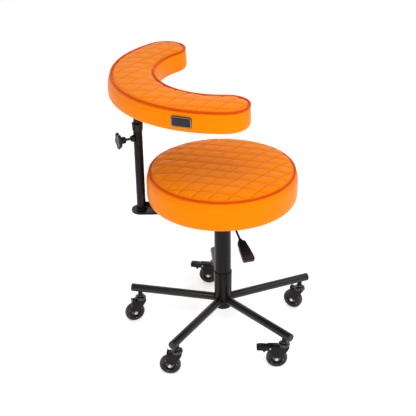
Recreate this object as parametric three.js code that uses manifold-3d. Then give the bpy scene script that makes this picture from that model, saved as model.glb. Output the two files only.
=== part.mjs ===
// A rolling throne stool: a round quilted seat on a gas lift, a five-leg caster base,
// and a crescent-shaped padded rest on a swinging arm with a height clamp.
// Millimetres, +Z up. The model is built around the lift column's axis, and the last lines
// move it so that the origin is under the middle of its bounding box, on the floor.
import * as THREE from "three";
import { mergeVertices } from "three/addons/utils/BufferGeometryUtils.js";
import Module from "manifold-3d";

const wasm = await Module();
wasm.setup();

// ---- Driving dimensions -------------------------------------------------------------------

const GAP = 0.3; // between pieces that touch
const ROUND = 40; // facets round a large cylinder
const SMALL_ROUND = 16; // facets round a small one

// Base
const LEG_COUNT = 5;
const FIRST_LEG_ANGLE = 167.7;
const LEG_REACH = 296;
const LEG_RADIUS = 12.4;
const LEG_HEIGHT = 113.6;
const TUBE_WALL = 1.8;
const HUB_BOTTOM = 86.4;
const HUB_TOP = 211.7;
const HUB_RADIUS_TOP = 27.5;
const HUB_RADIUS_LEGS = 26.2;

// Gas lift
const COLUMN_RADIUS = 25;
const COLUMN_BOTTOM = 95;
const COLUMN_TOP = 402;
const CYLINDER_RADIUS = 14;
const CYLINDER_BOTTOM = 150;
const CYLINDER_TOP = 446;
const ROD_RADIUS = 5;
const ROD_TOP = 300;
const VALVE_RADIUS = 4;
const VALVE_TOP = 451.3;
const VALVE_LENGTH = 11.8;
const VALVE_BORE_DEPTH = 10;
const BUSH_BOTTOM = 330;
const BEARING_RADIUS = 15;
const BEARING_BOTTOM = 98.8;
const BEARING_TOP = 106.8;
const CLIP_RADIUS = 9;
const CLIP_BOTTOM = 92;
const CLIP_TOP = 94.4;
const ROD_BOTTOM = 88;

// Casters: the swivel pivot is the stem, and the wheel trails behind it
const STEM_REACH = 269.3;
const TRAIL = 21.5;
const PARKED_ANGLES = [203, 175, 178, 150, 171];
const BRAKED = [false, false, true, false, true];
const WHEEL_RADIUS = 32;
const WHEEL_FACETS = 28;
const TYRE_HALF_WIDTH = 8.5;
const TYRE_BORE = 23.6;
const AXLE_RADIUS = 3.9;
const FORK_INNER = 10.4;
const FORK_OUTER = 12.9;
const BRIDGE_BOTTOM = 72.5;
const BRIDGE_TOP = 75.5;
const CROWN_RADIUS = 17.5;
const CROWN_TOP = 85.6;
const KINGPIN_RADIUS = 4;
const BRAKE_PIVOT_X = 41;

// Seat
const SEAT_RADIUS = 218.8;
const SEAT_PIPING_RADIUS = 212;
const SEAT_BOTTOM = 464.2;
const SEAT_PIPING_HEIGHT = 555;
const SEAT_CROWN = 571;
const PIPING_RADIUS = 3.3;
const SEAT_BOARD_RADIUS = 196;
const BOARD_THICKNESS = 12;

// Mechanism under the seat
const PLATE_SIDE = 180;
const PLATE_TOP = 465.6;
const PLATE_THICKNESS = 3;
const HOUSING_RADIUS = 27;
const SOCKET_RADIUS = 21;
const SOCKET_BOTTOM = 406;
const SOCKET_BORE = 14.7;
const LEVER_ANGLE = -71;
const LEVER_SLOPE = 20;
const LEVER_PIVOT_REACH = 22;
const LEVER_PIVOT_HEIGHT = 449;
const LEVER_ROD_RADIUS = 3.2;
const LEVER_TIP = -20;
const PADDLE_START = 147;
const PADDLE_END = 220;

// Swinging arm and post
const ARM_ANGLE = 181;
const POST_REACH = 239.5;
const ARM_TOP = 431;
const ARM_THICKNESS = 6;
const ARM_HALF_WIDTH = 29.5;
const POST_RADIUS = 13;
const POST_BORE = 11.5;
const POST_TOP = 698;
const COLLAR_BOTTOM = 683;
const COLLAR_TOP = 707;
const COLLAR_RADIUS = 15.3;
const KNOB_HEIGHT = 659.8;
const KNOB_ANGLE = 204;
const SCREW_RADIUS = 3.9;
const KNOB_HUB_START = 38;
const KNOB_HEAD_START = 53;
const KNOB_END = 65;
const KNOB_RADIUS = 25.5;
const KNOB_LOBES = 5;
const INNER_POST_RADIUS = 11;
const INNER_POST_BOTTOM = 510;

// Crescent rest: an arc about its own centre, with round ends
const REST_CENTRE_X = 11.5;
const REST_CENTRE_Y = 96.4;
const REST_ANGLE = 201.9;
const REST_OUTER = 328;
const REST_INNER = 205.5;
const REST_HALF_ANGLE = 67.5;
const REST_BOTTOM = 766;
const REST_PIPING_HEIGHT = 825.3;
const REST_WALL_BULGE = 6;
const BADGE_ANGLE = 250.3;
const BADGE_HEIGHT = 797.5;
const BADGE_WIDTH = 58;
const BADGE_TALL = 29;

// ---- Materials ----------------------------------------------------------------------------

function finish(color, roughness, metalness) {
  return new THREE.MeshStandardMaterial({ color, roughness, metalness });
}
const blackCoat = finish(0x231c1e, 0.4, 0.5);
const blackPlastic = finish(0x141213, 0.5, 0);
const glossBlack = finish(0x1a1718, 0.2, 0);
const brightSteel = finish(0xb9bab8, 0.25, 1);
const orangeLeather = finish(0xf98f0c, 0.45, 0);
const redPiping = finish(0xd8491c, 0.45, 0);
const plywood = finish(0xc09a66, 0.8, 0);

// ---- Helpers ------------------------------------------------------------------------------

const rad = THREE.MathUtils.degToRad;

// A closed three.js geometry as a manifold-3d solid.
function solid(geometry) {
  const bare = geometry.clone();
  bare.deleteAttribute("normal");
  bare.deleteAttribute("uv");
  const merged = mergeVertices(bare);
  return new wasm.Manifold(
    new wasm.Mesh({
      numProp: 3,
      vertProperties: merged.attributes.position.array,
      triVerts: new Uint32Array(merged.index.array),
    }),
  );
}

// A manifold-3d solid as a three.js geometry.
function geometryOf(manifold) {
  const mesh = manifold.getMesh();
  const geometry = new THREE.BufferGeometry();
  geometry.setAttribute("position", new THREE.BufferAttribute(mesh.vertProperties, 3));
  geometry.setIndex(new THREE.BufferAttribute(mesh.triVerts, 1));
  return geometry;
}

function join(first, ...others) {
  return geometryOf(others.reduce((sum, one) => sum.add(solid(one)), solid(first)));
}

function cut(body, ...tools) {
  return geometryOf(tools.reduce((rest, one) => rest.subtract(solid(one)), solid(body)));
}

// A solid of revolution about Z. Its [radius, height] points run up the outside.
function turned(points, facets = ROUND) {
  const profile = points.map(([radius, height]) => new THREE.Vector2(radius, height));
  return new THREE.LatheGeometry(profile, facets).rotateX(Math.PI / 2);
}

// A tube about Z whose outline is a closed loop of [radius, height] points.
const ring = (points, facets = ROUND) => turned([...points, points[0]], facets);

// A plain tube about Z.
const tube = (outer, inner, bottom, top, facets = ROUND) =>
  ring([[outer, bottom], [outer, top], [inner, top], [inner, bottom]], facets);

// A round bar about Z.
const bar = (radius, bottom, top, facets = SMALL_ROUND) =>
  turned([[0, bottom], [radius, bottom], [radius, top], [0, top]], facets);

// A box from its lowest to its highest corner.
function block([x0, y0, z0], [x1, y1, z1]) {
  const box = new THREE.BoxGeometry(x1 - x0, y1 - y0, z1 - z0);
  return box.translate((x0 + x1) / 2, (y0 + y1) / 2, (z0 + z1) / 2);
}

// A flat outline in XY, raised from bottom to top, with chamfered edges where bevel is given.
function slab(outline, bottom, top, bevel = 0, { curveSegments = 12, bevelHeight = bevel } = {}) {
  const options = {
    depth: top - bottom - 2 * bevelHeight,
    curveSegments,
    bevelEnabled: bevel > 0,
    bevelSize: bevel,
    bevelOffset: -bevel,
    bevelThickness: bevelHeight,
    bevelSegments: 1,
  };
  return new THREE.ExtrudeGeometry(outline, options).translate(0, 0, bottom + bevelHeight);
}

// A side profile in XZ, raised from y = nearY to y = farY.
function cheek(profile, nearY, farY) {
  return slab(profile, 0, farY - nearY, 0, { curveSegments: 6 }).rotateX(Math.PI / 2).translate(0, farY, 0);
}

const polygon = (points) => new THREE.Shape(points.map(([x, y]) => new THREE.Vector2(x, y)));

function roundedRectangle(width, height, radius) {
  const [x, y] = [width / 2 - radius, height / 2 - radius];
  const shape = new THREE.Shape();
  shape.absarc(x, y, radius, 0, rad(90));
  shape.absarc(-x, y, radius, rad(90), rad(180));
  shape.absarc(-x, -y, radius, rad(180), rad(270));
  shape.absarc(x, -y, radius, rad(270), rad(360));
  return shape;
}

const stool = new THREE.Group();

// Adds a named piece to a group, and returns it.
function add(parent, name, geometry, material) {
  const mesh = new THREE.Mesh(geometry, material);
  mesh.name = name;
  parent.add(mesh);
  return mesh;
}

function subgroup(parent, x, y, z, degrees) {
  const group = new THREE.Group();
  group.position.set(x, y, z);
  group.rotation.z = rad(degrees);
  parent.add(group);
  return group;
}

// ---- Base: hub, legs and column ---------------------------------------------------------------

function hubTube() {
  const bore = COLUMN_RADIUS + 2 * GAP;
  return ring([
    [HUB_RADIUS_LEGS, HUB_BOTTOM],
    [HUB_RADIUS_LEGS, LEG_HEIGHT + LEG_RADIUS],
    [HUB_RADIUS_TOP, HUB_TOP],
    [bore, HUB_TOP],
    [bore, HUB_BOTTOM],
  ]);
}

// One leg along +X, its inner end coped to the hub.
function legTube() {
  const legTop = LEG_HEIGHT + LEG_RADIUS;
  const along = tube(LEG_RADIUS, LEG_RADIUS - TUBE_WALL, 0, LEG_REACH, 20);
  along.rotateY(Math.PI / 2).translate(0, 0, LEG_HEIGHT);
  return cut(along, bar(HUB_RADIUS_LEGS + GAP, HUB_BOTTOM - GAP, legTop + GAP, ROUND));
}

// Stem under the leg: a welded bush, the bright swivel washer and the kingpin in one turning.
function casterStem() {
  const turning = turned(
    [
      [0, BRIDGE_BOTTOM],
      [KINGPIN_RADIUS, BRIDGE_BOTTOM],
      [KINGPIN_RADIUS, CROWN_TOP + 0.6],
      [9.3, CROWN_TOP + 0.6],
      [9.3, CROWN_TOP + 2],
      [7, CROWN_TOP + 5],
      [7, LEG_HEIGHT],
      [0, LEG_HEIGHT],
    ],
    14,
  );
  const legSolid = bar(LEG_RADIUS + GAP, -20, 20, 20).rotateY(Math.PI / 2).translate(0, 0, LEG_HEIGHT);
  return cut(turning, legSolid);
}

function columnTube() {
  const inner = COLUMN_RADIUS - TUBE_WALL;
  const hole = ROD_RADIUS + 0.4;
  const floor = COLUMN_BOTTOM + 3.5;
  return ring([
    [hole, COLUMN_BOTTOM],
    [COLUMN_RADIUS, COLUMN_BOTTOM],
    [COLUMN_RADIUS, COLUMN_TOP],
    [inner, COLUMN_TOP],
    [inner, floor],
    [hole, floor],
  ]);
}

function gasCylinder() {
  const valveBore = VALVE_RADIUS + 0.5;
  const valveBoreBottom = CYLINDER_TOP - VALVE_BORE_DEPTH;
  const rodBore = ROD_RADIUS + 0.6;
  const rodBoreTop = ROD_TOP + 20;
  return turned(
    [
      [0, rodBoreTop],
      [rodBore, rodBoreTop],
      [rodBore, CYLINDER_BOTTOM],
      [CYLINDER_RADIUS, CYLINDER_BOTTOM],
      [CYLINDER_RADIUS, CYLINDER_TOP],
      [valveBore, CYLINDER_TOP],
      [valveBore, valveBoreBottom],
      [0, valveBoreBottom],
    ],
    24,
  );
}

function buildBase() {
  const bushOuter = COLUMN_RADIUS - TUBE_WALL - GAP;
  const bush = tube(bushOuter, CYLINDER_RADIUS + 0.5, BUSH_BOTTOM, COLUMN_TOP - GAP, 32);
  const bearing = tube(BEARING_RADIUS, ROD_RADIUS + 0.5, BEARING_BOTTOM, BEARING_TOP, 24);
  const clip = tube(CLIP_RADIUS, ROD_RADIUS + 0.4, CLIP_BOTTOM, CLIP_TOP, SMALL_ROUND);
  add(stool, "hub_tube", hubTube(), blackCoat);
  add(stool, "column_tube", columnTube(), blackCoat);
  add(stool, "guide_bush", bush, blackPlastic);
  add(stool, "thrust_bearing", bearing, brightSteel);
  add(stool, "piston_rod", bar(ROD_RADIUS, ROD_BOTTOM, ROD_TOP), brightSteel);
  add(stool, "retaining_clip", clip, brightSteel);
  add(stool, "gas_cylinder", gasCylinder(), blackCoat);
  add(stool, "valve_button", bar(VALVE_RADIUS, VALVE_TOP - VALVE_LENGTH, VALVE_TOP), brightSteel);
}

// ---- Casters: the local X axis points from the pivot to the trailing wheel --------------------------

const axleHead = FORK_OUTER + GAP;
const axleEnd = axleHead + 3.4;

// Outline of a fork cheek: wide under the crown, round at the axle.
function cheekOutline(braked) {
  const shape = new THREE.Shape();
  const rearTop = braked ? 47 : 28.5;
  shape.moveTo(-14, BRIDGE_TOP);
  shape.lineTo(-9, 63);
  shape.absarc(TRAIL, WHEEL_RADIUS, 7.5, rad(198), rad(360));
  if (braked) {
    shape.lineTo(34, 53);
    shape.lineTo(rearTop, 62);
  }
  shape.lineTo(rearTop, BRIDGE_TOP);
  return shape;
}

function crown() {
  return ring(
    [
      [KINGPIN_RADIUS + 0.7, BRIDGE_BOTTOM],
      [15, BRIDGE_BOTTOM],
      [CROWN_RADIUS, BRIDGE_TOP],
      [CROWN_RADIUS, BRIDGE_TOP + 4.5],
      [15.5, CROWN_TOP - 2.5],
      [10.4, CROWN_TOP],
      [KINGPIN_RADIUS + 0.7, CROWN_TOP],
    ],
    SMALL_ROUND,
  );
}

function fork(braked) {
  const bridgeRear = braked ? 35 : 28.5;
  const pieces = [
    cheek(cheekOutline(braked), FORK_INNER, FORK_OUTER),
    cheek(cheekOutline(braked), -FORK_OUTER, -FORK_INNER),
    block([-14, -FORK_OUTER, BRIDGE_BOTTOM], [bridgeRear, FORK_OUTER, BRIDGE_TOP]),
  ];
  if (!braked) {
    pieces.push(block([26, -FORK_OUTER, 66.5], [29.5, FORK_OUTER, 78]));
  }
  const kingpinBore = bar(KINGPIN_RADIUS + 0.7, BRIDGE_BOTTOM - 1, CROWN_TOP + 1);
  const axleBore = bar(AXLE_RADIUS + 0.4, -20, 20, 12).rotateX(Math.PI / 2).translate(TRAIL, 0, WHEEL_RADIUS);
  return cut(join(crown(), ...pieces), kingpinBore, axleBore);
}

// A turning about the axle, with a flat facet at its lowest point.
function onAxle(geometry, facets) {
  return geometry.rotateX(Math.PI / 2).rotateY(Math.PI / facets).translate(TRAIL, 0, WHEEL_RADIUS);
}

function axle() {
  const profile = [
    [0, -axleEnd],
    [4.6, -axleEnd],
    [4.6, -axleHead],
    [AXLE_RADIUS, -axleHead],
    [AXLE_RADIUS, axleHead],
    [4.6, axleHead],
    [4.6, axleEnd],
    [0, axleEnd],
  ];
  return onAxle(turned(profile, 12), 12);
}

function tyre() {
  const tread = WHEEL_RADIUS / Math.cos(Math.PI / WHEEL_FACETS);
  const half = TYRE_HALF_WIDTH;
  const profile = [
    [TYRE_BORE, -half],
    [tread - 3, -half],
    [tread, -3.6],
    [tread, 3.6],
    [tread - 3, half],
    [TYRE_BORE, half],
  ];
  return onAxle(ring(profile, WHEEL_FACETS), WHEEL_FACETS);
}

// Rim, recessed web and bearing boss in one moulding.
function wheelHub() {
  const rim = TYRE_BORE - 0.5;
  const bore = AXLE_RADIUS + 0.6;
  const half = [
    [rim, 8.2],
    [16.5, 8.2],
    [15.5, 4],
    [11.4, 4],
    [11.4, 6.2],
    [bore, 6.2],
  ];
  const mirrored = half.map(([radius, height]) => [radius, -height]).reverse();
  return onAxle(ring([...mirrored, ...half], SMALL_ROUND), SMALL_ROUND);
}

// Foot brake: a pedal between the cheeks, with a nose that presses the tyre.
function brakePedal() {
  const profile = polygon([
    [BRAKE_PIVOT_X - 4.5, 66],
    [46, 60],
    [54, 60],
    [59.5, 51.5],
    [63, 60],
    [81, 61],
    [81, 74],
    [BRAKE_PIVOT_X - 4.5, 75],
  ]);
  return cheek(profile, 0.5 - FORK_INNER, FORK_INNER - 0.5);
}

function buildLegsAndCasters() {
  for (let i = 0; i < LEG_COUNT; i++) {
    const angle = FIRST_LEG_ANGLE + (i * 360) / LEG_COUNT;
    const arm = subgroup(stool, 0, 0, 0, angle);
    add(arm, `leg_tube_${i + 1}`, legTube(), blackCoat);
    add(arm, `caster_stem_${i + 1}`, casterStem().translate(STEM_REACH, 0, 0), brightSteel);
    const caster = subgroup(arm, STEM_REACH, 0, 0, PARKED_ANGLES[i] - angle);
    add(caster, `fork_${i + 1}`, fork(BRAKED[i]), blackCoat);
    add(caster, `axle_${i + 1}`, axle(), brightSteel);
    add(caster, `tyre_${i + 1}`, tyre(), glossBlack);
    add(caster, `wheel_hub_${i + 1}`, wheelHub(), glossBlack);
    if (BRAKED[i]) add(caster, `brake_pedal_${i + 1}`, brakePedal(), blackCoat);
  }
}

// ---- Seat and its mechanism ---------------------------------------------------------------------

function seatCushion() {
  const recess = SEAT_BOTTOM + 2 + BOARD_THICKNESS;
  const board = SEAT_BOARD_RADIUS + GAP;
  return turned(
    [
      [0, recess],
      [board, recess],
      [board, SEAT_BOTTOM + 1.5],
      [202, SEAT_BOTTOM],
      [213, SEAT_BOTTOM + 5],
      [SEAT_RADIUS, SEAT_BOTTOM + 19],
      [SEAT_RADIUS, SEAT_PIPING_HEIGHT - 18],
      [216, SEAT_PIPING_HEIGHT - 7.5],
      [SEAT_PIPING_RADIUS - 4.2, SEAT_PIPING_HEIGHT - 4.5],
      [SEAT_PIPING_RADIUS - 4.2, SEAT_PIPING_HEIGHT + 3],
      [SEAT_PIPING_RADIUS - 40, SEAT_CROWN - 7],
      [SEAT_PIPING_RADIUS - 110, SEAT_CROWN - 1],
      [0, SEAT_CROWN],
    ],
    48,
  );
}

// The seat plate, its housing for the lever, and the socket that takes the gas cylinder.
function seatPlate() {
  const underside = PLATE_TOP - PLATE_THICKNESS;
  const housingBottom = ARM_TOP + 0.6;
  const outline = roundedRectangle(PLATE_SIDE, PLATE_SIDE, 18);
  const plate = slab(outline, underside, PLATE_TOP, 0, { curveSegments: 4 });
  const housing = bar(HOUSING_RADIUS, housingBottom, underside + 1, 32);
  const socket = bar(SOCKET_RADIUS, SOCKET_BOTTOM, housingBottom + 1, 32);
  const bore = bar(SOCKET_BORE, SOCKET_BOTTOM - 1, underside - 1, 24);
  const slot = leverFrame(bar(6, -12, 30, 12));
  return cut(join(plate, housing, socket), bore, slot);
}

// Places a piece made along +Z so that it lies along the lever, from its pivot outwards.
function leverFrame(geometry) {
  return geometry
    .rotateY(rad(90 + LEVER_SLOPE))
    .translate(LEVER_PIVOT_REACH, 0, LEVER_PIVOT_HEIGHT)
    .rotateZ(rad(LEVER_ANGLE));
}

// A flat paddle that widens outwards, with a blind bore for the rod.
function leverPaddle() {
  const outline = new THREE.Shape();
  outline.moveTo(8, PADDLE_START);
  outline.quadraticCurveTo(15, PADDLE_START + 34, 16.5, PADDLE_END - 4);
  outline.quadraticCurveTo(16.5, PADDLE_END, 12.5, PADDLE_END);
  outline.lineTo(-12.5, PADDLE_END);
  outline.quadraticCurveTo(-16.5, PADDLE_END, -16.5, PADDLE_END - 4);
  outline.quadraticCurveTo(-15, PADDLE_START + 34, -8, PADDLE_START);
  const flat = slab(outline, -5, 5, 1.2, { curveSegments: 5 });
  const alongZ = flat.rotateX(Math.PI / 2).rotateZ(Math.PI / 2);
  const rodBore = bar(LEVER_ROD_RADIUS + 0.4, PADDLE_START - 5, PADDLE_START + 25.3, 12);
  return leverFrame(cut(alongZ, rodBore));
}

function buildSeat() {
  const boardBottom = SEAT_BOTTOM + 2;
  const board = bar(SEAT_BOARD_RADIUS, boardBottom, boardBottom + BOARD_THICKNESS - GAP, 48);
  const pipingRing = new THREE.TorusGeometry(SEAT_PIPING_RADIUS, PIPING_RADIUS, 6, 48);
  add(stool, "seat_plate", seatPlate(), blackCoat);
  add(stool, "seat_board", board, plywood);
  add(stool, "seat_cushion", seatCushion(), orangeLeather);
  add(stool, "seat_piping", pipingRing.translate(0, 0, SEAT_PIPING_HEIGHT), redPiping);
  add(stool, "lever_rod", leverFrame(bar(LEVER_ROD_RADIUS, LEVER_TIP, PADDLE_START + 25, 12)), blackCoat);
  add(stool, "lever_paddle", leverPaddle(), blackPlastic);
}

// ---- Swinging arm, post and height clamp ----------------------------------------------------------

// Flat bar with round ends, bored for the socket that it swings on. It lies along +X.
function bracketArm() {
  const outline = new THREE.Shape();
  outline.absarc(POST_REACH, 0, ARM_HALF_WIDTH, rad(-90), rad(90));
  outline.absarc(0, 0, ARM_HALF_WIDTH, rad(90), rad(270));
  const flat = slab(outline, ARM_TOP - ARM_THICKNESS, ARM_TOP, 0.8, { curveSegments: 12 });
  return cut(flat, bar(SOCKET_RADIUS + 0.6, ARM_TOP - ARM_THICKNESS - 1, ARM_TOP + 1, 32));
}

const collarStep = POST_TOP + GAP;

function postCollar() {
  return ring(
    [
      [COLLAR_RADIUS - 0.9, COLLAR_BOTTOM],
      [COLLAR_RADIUS, COLLAR_BOTTOM + 3],
      [COLLAR_RADIUS, COLLAR_TOP - 1.5],
      [COLLAR_RADIUS - 1.5, COLLAR_TOP],
      [POST_BORE, COLLAR_TOP],
      [POST_BORE, collarStep],
      [POST_RADIUS + 0.4, collarStep],
      [POST_RADIUS + 0.4, COLLAR_BOTTOM],
    ],
    24,
  );
}

// Places a piece made along +Z so that it points out of the post, along the clamp screw.
function clampFrame(geometry) {
  return geometry.rotateY(Math.PI / 2).translate(0, 0, KNOB_HEIGHT);
}

function postTube() {
  const whole = tube(POST_RADIUS, POST_BORE, ARM_TOP + GAP, POST_TOP, 24);
  return cut(whole, clampFrame(bar(SCREW_RADIUS + 0.5, 0, 20, 12)));
}

// Threaded boss on the post, coped to its round face.
function knobBoss() {
  const nose = turned([[0, 0], [10, 0], [10, 17], [8, 22.5], [0, 22.5]]);
  const bore = clampFrame(bar(SCREW_RADIUS + 0.5, -1, 30, 12));
  return cut(clampFrame(nose), bar(POST_RADIUS + GAP, KNOB_HEIGHT - 20, KNOB_HEIGHT + 20, 24), bore);
}

// Lobed hand knob: a hub, and a head whose radius swells and narrows round it.
function clampKnob() {
  const points = [];
  const steps = KNOB_LOBES * 8;
  for (let i = 0; i < steps; i++) {
    const angle = (2 * Math.PI * i) / steps;
    const radius = KNOB_RADIUS - 3 + 3 * Math.cos(KNOB_LOBES * angle);
    points.push([radius * Math.cos(angle), radius * Math.sin(angle)]);
  }
  const head = slab(polygon(points), KNOB_HEAD_START, KNOB_END, 2.5);
  const hub = bar(10, KNOB_HUB_START, KNOB_HEAD_START + 1, 20);
  const bore = bar(SCREW_RADIUS + 0.4, KNOB_HUB_START - 1, KNOB_HEAD_START + 2.3, 12);
  return clampFrame(cut(join(head, hub), bore));
}

function buildArm() {
  const arm = subgroup(stool, 0, 0, 0, ARM_ANGLE);
  const retainerTop = ARM_TOP - ARM_THICKNESS - GAP;
  const retainer = tube(HOUSING_RADIUS, SOCKET_RADIUS + 0.5, retainerTop - 8, retainerTop, 24);
  add(arm, "bracket_arm", bracketArm(), blackCoat);
  add(arm, "arm_retainer", retainer, blackCoat);
  const post = subgroup(arm, POST_REACH, 0, 0, KNOB_ANGLE - ARM_ANGLE);
  add(post, "post_tube", postTube(), blackCoat);
  add(post, "post_collar", postCollar(), blackPlastic);
  add(post, "knob_boss", knobBoss(), blackCoat);
  const screw = bar(SCREW_RADIUS, INNER_POST_RADIUS + 0.4, KNOB_HEAD_START + 2, 12);
  add(post, "clamp_screw", clampFrame(screw), brightSteel);
  add(post, "clamp_knob", clampKnob(), blackPlastic);
  add(post, "inner_post", bar(INNER_POST_RADIUS, INNER_POST_BOTTOM, restPlateBottom - GAP, 24), blackCoat);
}

// ---- Crescent rest --------------------------------------------------------------------------------

const REST_MIDDLE = (REST_OUTER + REST_INNER) / 2;
const REST_HALF_WIDTH = (REST_OUTER - REST_INNER) / 2;
const restBoardBottom = REST_BOTTOM + 2;
const restPlateTop = restBoardBottom - GAP;
const restPlateBottom = restPlateTop - 4;

// The rest's outline grown outwards by grow, with its middle on +X and the arc's centre at the origin.
function crescent(grow, path = new THREE.Shape()) {
  const end = rad(REST_HALF_ANGLE);
  const endX = REST_MIDDLE * Math.cos(end);
  const endY = REST_MIDDLE * Math.sin(end);
  const endRadius = REST_HALF_WIDTH + grow;
  path.absarc(0, 0, REST_OUTER + grow, -end, end);
  path.absarc(endX, endY, endRadius, end, end + Math.PI);
  path.absarc(0, 0, REST_INNER - grow, end, -end, true);
  path.absarc(endX, -endY, endRadius, Math.PI - end, 2 * Math.PI - end);
  return path;
}

function restCushion() {
  const top = REST_PIPING_HEIGHT - PIPING_RADIUS - 0.8;
  const smooth = { curveSegments: 14, bevelHeight: 10 };
  const body = slab(crescent(REST_WALL_BULGE), REST_BOTTOM, top, 7, smooth);
  const crownPad = slab(crescent(-12), top - 5, REST_PIPING_HEIGHT + 5, 4, { curveSegments: 12 });
  const boardRecess = slab(crescent(-18 + GAP), REST_BOTTOM - 5, restBoardBottom + BOARD_THICKNESS + GAP, 0);
  return cut(join(body, crownPad), boardRecess);
}

function restPiping() {
  const outline = crescent(PIPING_RADIUS);
  outline.holes.push(crescent(-PIPING_RADIUS, new THREE.Path()));
  const [bottom, top] = [REST_PIPING_HEIGHT - PIPING_RADIUS, REST_PIPING_HEIGHT + PIPING_RADIUS];
  return slab(outline, bottom, top, 1.9);
}

// Blank name plate, bent to the rest's outer wall.
function nameBadge() {
  const flat = slab(roundedRectangle(BADGE_WIDTH, BADGE_TALL, 5), 0, 1.6, 0.5, { curveSegments: 3 });
  const wall = REST_OUTER + REST_WALL_BULGE;
  const sagitta = (BADGE_WIDTH / 2) ** 2 / (2 * wall);
  return flat.rotateX(Math.PI / 2).rotateZ(Math.PI / 2).translate(wall + sagitta - 1, 0, BADGE_HEIGHT);
}

function buildRest() {
  const rest = subgroup(stool, REST_CENTRE_X, REST_CENTRE_Y, 0, REST_ANGLE);
  const plate = slab(roundedRectangle(70, 110, 12), restPlateBottom, restPlateTop, 0, { curveSegments: 4 });
  const board = slab(crescent(-18), restBoardBottom, restBoardBottom + BOARD_THICKNESS, 0);
  add(rest, "rest_plate", plate.translate(REST_MIDDLE, 0, 0), blackCoat);
  add(rest, "rest_board", board, plywood);
  add(rest, "rest_cushion", restCushion(), orangeLeather);
  add(rest, "rest_piping", restPiping(), redPiping);
  const badge = subgroup(rest, 0, 0, 0, BADGE_ANGLE - REST_ANGLE);
  add(badge, "name_badge", nameBadge(), blackPlastic);
}

// ---- Assembly -------------------------------------------------------------------------------------

buildBase();
buildLegsAndCasters();
buildSeat();
buildArm();
buildRest();

const box = new THREE.Box3().setFromObject(stool, true);
const middle = box.getCenter(new THREE.Vector3());
stool.position.set(-middle.x, -middle.y, -box.min.z);

export default stool;
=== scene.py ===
"""Looks of a rolling throne stool: a quilted seat on a gas lift and casters, and a crescent rest.

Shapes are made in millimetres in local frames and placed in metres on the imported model.
"""
import math

import bmesh
import bpy
import numpy as np
from mathutils import Matrix, Vector
from mathutils.bvhtree import BVHTree


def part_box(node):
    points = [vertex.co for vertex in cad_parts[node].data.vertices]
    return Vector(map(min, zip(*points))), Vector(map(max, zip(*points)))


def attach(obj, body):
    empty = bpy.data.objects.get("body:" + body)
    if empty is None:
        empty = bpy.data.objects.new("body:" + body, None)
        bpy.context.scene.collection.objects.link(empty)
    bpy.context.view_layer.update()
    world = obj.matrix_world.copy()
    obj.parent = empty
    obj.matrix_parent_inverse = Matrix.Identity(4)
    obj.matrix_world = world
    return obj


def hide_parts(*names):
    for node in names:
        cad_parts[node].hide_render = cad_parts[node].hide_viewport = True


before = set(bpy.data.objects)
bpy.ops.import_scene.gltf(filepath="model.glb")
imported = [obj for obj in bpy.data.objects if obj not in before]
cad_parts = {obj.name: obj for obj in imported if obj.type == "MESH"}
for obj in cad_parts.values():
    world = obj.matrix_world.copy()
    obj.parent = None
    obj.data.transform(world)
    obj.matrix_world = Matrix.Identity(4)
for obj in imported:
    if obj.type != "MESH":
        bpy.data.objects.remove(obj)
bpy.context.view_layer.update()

# ---- Driving dimensions, in millimetres from the lift's axis -------------------------------------

MM = 0.001

LEG_COUNT = 5
FIRST_LEG_ANGLE = 167.7
LEG_REACH = 296
LEG_RADIUS = 12.4
LEG_HEIGHT = 113.6
HUB_BOTTOM = 86.4
HUB_TOP = 211.7
HUB_RADIUS_TOP = 27.5
HUB_RADIUS_LEGS = 26.2
COLUMN_RADIUS = 25
COLUMN_BORE = 23.2
COLUMN_BOTTOM = 95
COLUMN_TOP = 402
BUSH_BOTTOM = 330
ROD_RADIUS = 5
ROD_BOTTOM = 88
ROD_TOP = 300

STEM_REACH = 269.3
TRAIL = 21.5
PARKED_ANGLES = (203, 175, 178, 150, 171)
BRAKED = (False, False, True, False, True)
WHEEL_RADIUS = 32
WHEEL_HALF_WIDTH = 8.5
RIM_RADIUS = 23.1
FORK_OUTER = 12.9
FORK_INNER = 10.4
FORK_TOP = 75.5
CROWN_TOP = 85.6
BRAKE_PIVOT = (41, 69)

SEAT_PIPING_RADIUS = 212
SEAT_PIPING_HEIGHT = 555
SEAT_BOTTOM = 464.2
SEAT_BOARD_RADIUS = 196
BOARD_THICKNESS = 12
PIPING_RADIUS = 3.3
PLATE_SIDE = 180
PLATE_TOP = 465.6
PLATE_THICKNESS = 3
HOUSING_RADIUS = 27
SOCKET_RADIUS = 21
SOCKET_BOTTOM = 406
SOCKET_BORE = 14.7

LEVER_ANGLE = -71
LEVER_SLOPE = 20
LEVER_PIVOT = (22, 0, 449)
PADDLE_START = 147
PADDLE_END = 220

ARM_ANGLE = 181
POST_REACH = 239.5
ARM_TOP = 431
ARM_THICKNESS = 6
ARM_HALF_WIDTH = 29.5
POST_RADIUS = 13
POST_BORE = 11.4
POST_TOP = 698
COLLAR_BOTTOM = 683
COLLAR_TOP = 707
COLLAR_RADIUS = 15.3
KNOB_HEIGHT = 659.8
KNOB_ANGLE = 204
KNOB_RADIUS = 25.5
KNOB_HUB_START = 38
KNOB_HEAD_START = 53
KNOB_END = 63
INNER_POST_RADIUS = 11
INNER_POST_BOTTOM = 510

REST_CENTRE = (11.5, 96.4)
REST_ANGLE = 201.9
REST_MIDDLE = 266.75
REST_HALF_WIDTH = 61.25
REST_HALF_ANGLE = 68.6
REST_BOTTOM = 766
REST_PIPING_HEIGHT = 825.3
BADGE_ANGLE = 249.8
BADGE_HEIGHT = 797.5
BADGE_WIDTH = 58
BADGE_TALL = 29

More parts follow.
